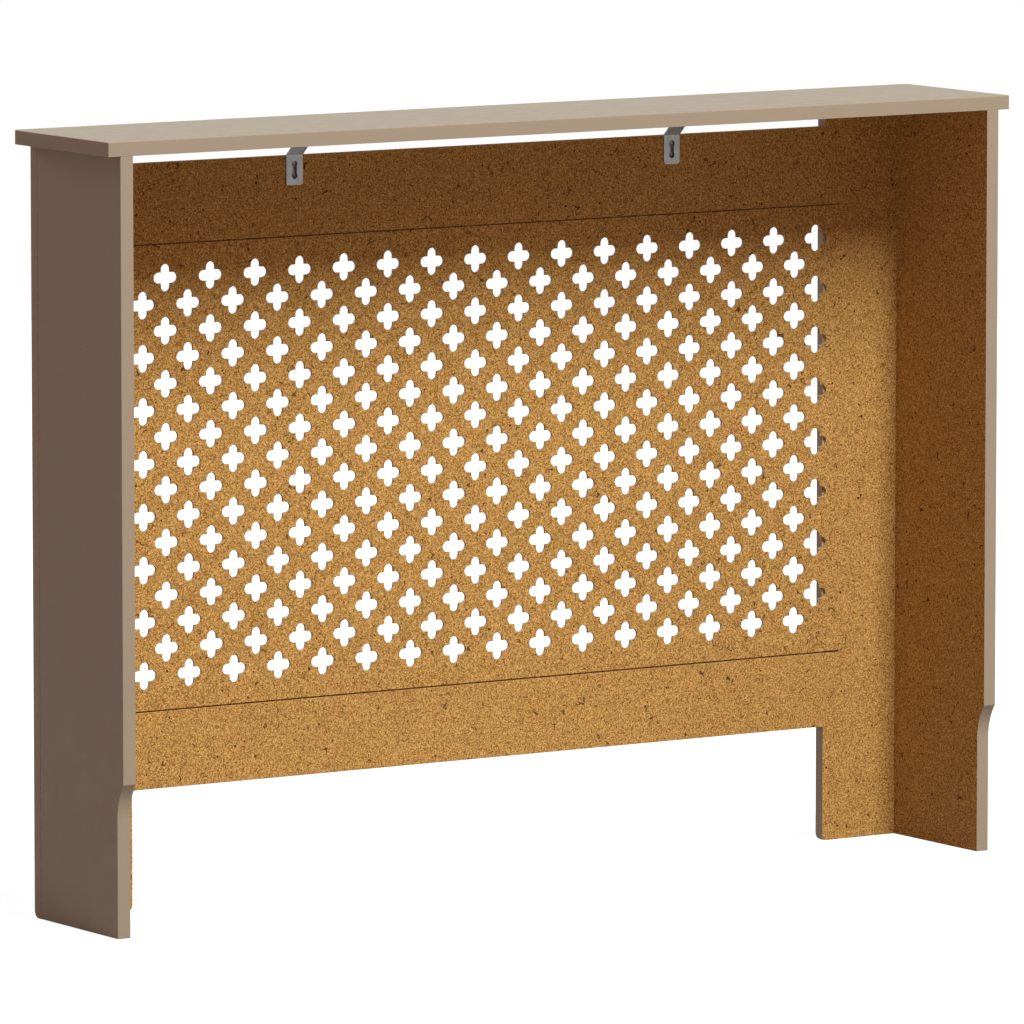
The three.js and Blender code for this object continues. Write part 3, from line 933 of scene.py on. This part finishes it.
def stay_bracket(side):
    node = f"{side}_stay_bracket"
    low, high = node_box(node)
    reach = 2 * BRACKET_THICKNESS
    obj = prism(f"bracket_{side}", bracket_outline(high.z, high.y), "x", low.x, high.x)
    round_leg(obj, low, high)
    tool = prism("slot", slot_outline(side), "y", low.y - reach, low.y + reach)
    combine(obj, tool, "DIFFERENCE")
    drill_flange(obj, side, (low.x + high.x) / 2, high.z - reach, high.z + OVERCUT)
    ease_edges(obj, lambda middle: BRACKET_ARRIS, BRACKET_ARRIS_SEGMENTS)
    smooth(obj)
    dress_metal(obj)
    stand_for(obj, "zinc_plate", node)


def screw_profile(low_z, high_z):
    """Half the outline of a pan-head screw, as (radius, z) points from the head to the point."""
    head, shank = SCREW_HEAD_DIAMETER / 2, SCREW_DIAMETER / 2
    seat = low_z + SCREW_HEAD_HEIGHT
    rim_z, dome_height = seat - SCREW_HEAD_RIM, SCREW_HEAD_HEIGHT - SCREW_HEAD_RIM
    profile = []
    for degrees in range(0, 91, DOME_STEP_DEGREES):
        angle = math.radians(degrees)
        profile.append((head * math.sin(angle), rim_z - dome_height * math.cos(angle)))
    return profile + [(head, seat), (shank, seat), (shank, high_z - SCREW_POINT_LENGTH), (0, high_z)]


def screw(side, number):
    """A pan-head screw, driven upwards, with a cross recess in its head."""
    node = screw_node(side, number)
    low, high = node_box(node)
    x, y = (low.x + high.x) / 2, (low.y + high.y) / 2
    obj = turned(f"screw_{side}_{number}", screw_profile(low.z, high.z), x, y)
    for span_x, span_y in ((RECESS_SPAN, RECESS_WIDTH), (RECESS_WIDTH, RECESS_SPAN)):
        cross = rectangle(x - span_x / 2, y - span_y / 2, x + span_x / 2, y + span_y / 2)
        tool = prism("recess", cross, "z", low.z - OVERCUT, low.z + RECESS_DEPTH)
        combine(obj, tool, "DIFFERENCE")
    smooth(obj)
    dress_metal(obj)
    stand_for(obj, "zinc_plate", node)


def dress_dowels():
    """Beech on the dowels, whose CAD solids are kept."""
    for name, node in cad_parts.items():
        if name.startswith("dowel"):
            node.data.materials.clear()
            node.data.materials.append(beech)


# ---- Floor, lamps and camera, in metres and degrees ----

FLOOR_RADIUS = 6.0
FLOOR_SIDES = 64
FLOOR_ALBEDO = grey(0.30)
FLOOR_GLOW = (0.865, 0.905, 0.908, 1.0)
WHITE = grey(1.0)
AMBIENT = (0.233, 0.101, 0.092, 1.0)

# Each lamp shines at LIT_POINT, from an azimuth that turns from +Y towards -X and an elevation
# above the floor. Its level is how bright it makes a white surface that faces it.
LIT_POINT = Vector((-0.10, -0.07, 0.45))
LAMPS = {
    "key": {
        "azimuth": 5.5,
        "elevation": 51.4,
        "distance": 12.0,
        "size": (1.95, 4.9),
        "level": 1.138,
        "colour": (1.0, 1.0, 1.0),
    },
    "front": {
        "azimuth": 190.0,
        "elevation": 22.0,
        "distance": 7.0,
        "size": (3.0, 3.0),
        "level": 0.4,
        "colour": (1.0, 1.0, 1.0),
    },
    "fill": {
        "azimuth": 64.0,
        "elevation": 20.0,
        "distance": 7.0,
        "size": (1.5, 1.5),
        "level": 0.14,
        "colour": (1.0, 0.957, 0.686),
    },
}

CAMERA_PLACE = (5.7325, 8.8039, 1.6592)
CAMERA_TURN = 146.988
CAMERA_DIP = 6.8606
CAMERA_LENS_MM = 353.63
CAMERA_FAR = 200.0


def seen_directly(g):
    """1 for rays from the camera, in reflections and through glass, else 0."""
    path = g.add("ShaderNodeLightPath").outputs
    seen = g.math("MAXIMUM", path["Is Camera Ray"], path["Is Glossy Ray"])
    return g.math("MAXIMUM", seen, path["Is Transmission Ray"])


def floor_material():
    """White to the camera save for shadows, and clear from below."""
    g = material_graph("floor_white")
    glow = {"Color": FLOOR_GLOW, "Strength": seen_directly(g)}
    white = g.add("ShaderNodeEmission", None, glow).outputs[0]
    matt = g.add("ShaderNodeBsdfDiffuse", None, {"Color": FLOOR_ALBEDO}).outputs[0]
    both = g.add("ShaderNodeAddShader", None, {0: matt, 1: white}).outputs[0]
    below = g.add("ShaderNodeNewGeometry").outputs["Backfacing"]
    clear = g.add("ShaderNodeBsdfTransparent").outputs[0]
    g.finish(g.add("ShaderNodeMixShader", None, {0: below, 1: both, 2: clear}))
    return g.owner


def floor():
    """A wide disc that takes the object's shadow."""
    bm = bmesh.new()
    bmesh.ops.create_circle(bm, cap_ends=True, segments=FLOOR_SIDES, radius=FLOOR_RADIUS)
    mesh = new_mesh("floor", bm)
    mesh.materials.append(floor_material())
    new_object("floor", mesh)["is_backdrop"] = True


def backdrop():
    """White to the camera and in reflections, and a soft warm light on everything else."""
    world = bpy.data.worlds.new("studio")
    bpy.context.scene.world = world
    g = Graph(world)
    soft = g.add("ShaderNodeBackground", None, {"Color": AMBIENT}).outputs[0]
    white = g.add("ShaderNodeBackground", None, {"Color": WHITE}).outputs[0]
    choose = g.add("ShaderNodeMixShader", None, {0: seen_directly(g), 1: soft, 2: white})
    g.finish(choose, "ShaderNodeOutputWorld")


def area_light(name, azimuth, elevation, distance, size, level, colour):
    """A rectangular lamp that shines at LIT_POINT."""
    turn, rise = math.radians(azimuth), math.radians(elevation)
    across = math.cos(rise)
    away = Vector((-math.sin(turn) * across, math.cos(turn) * across, math.sin(rise)))
    lamp = bpy.data.lights.new(name, "AREA")
    lamp.shape = "RECTANGLE"
    lamp.size, lamp.size_y = size
    lamp.energy = level * (math.pi * distance) ** 2
    lamp.color = colour
    obj = new_object(name, lamp)
    obj.location = LIT_POINT + away * distance
    obj.rotation_euler = (-away).to_track_quat("-Z", "Y").to_euler()


def camera():
    data = bpy.data.cameras.new("camera")
    data.lens = CAMERA_LENS_MM
    data.clip_end = CAMERA_FAR
    obj = new_object("camera", data)
    obj.location = CAMERA_PLACE
    obj.rotation_euler = (math.radians(90 - CAMERA_DIP), 0, math.radians(CAMERA_TURN))
    bpy.context.scene.camera = obj


# ---- Everything in place ----


def cabinet():
    shelf_board()
    for side in SIDES:
        side_board(side)
        stile_board(side)
        stay_bracket(side)
        for number in range(1, SCREWS_PER_BRACKET + 1):
            screw(side, number)
    bottom_rail()
    top_rail()
    grille_sheet()
    dress_dowels()


def studio():
    floor()
    backdrop()
    for name, lamp in LAMPS.items():
        area_light(name, **lamp)
    camera()
    bpy.context.scene.view_settings.view_transform = "Standard"


cabinet()
studio()

boxes = [[list(corner) for corner in box] for box in (cad_box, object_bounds())]
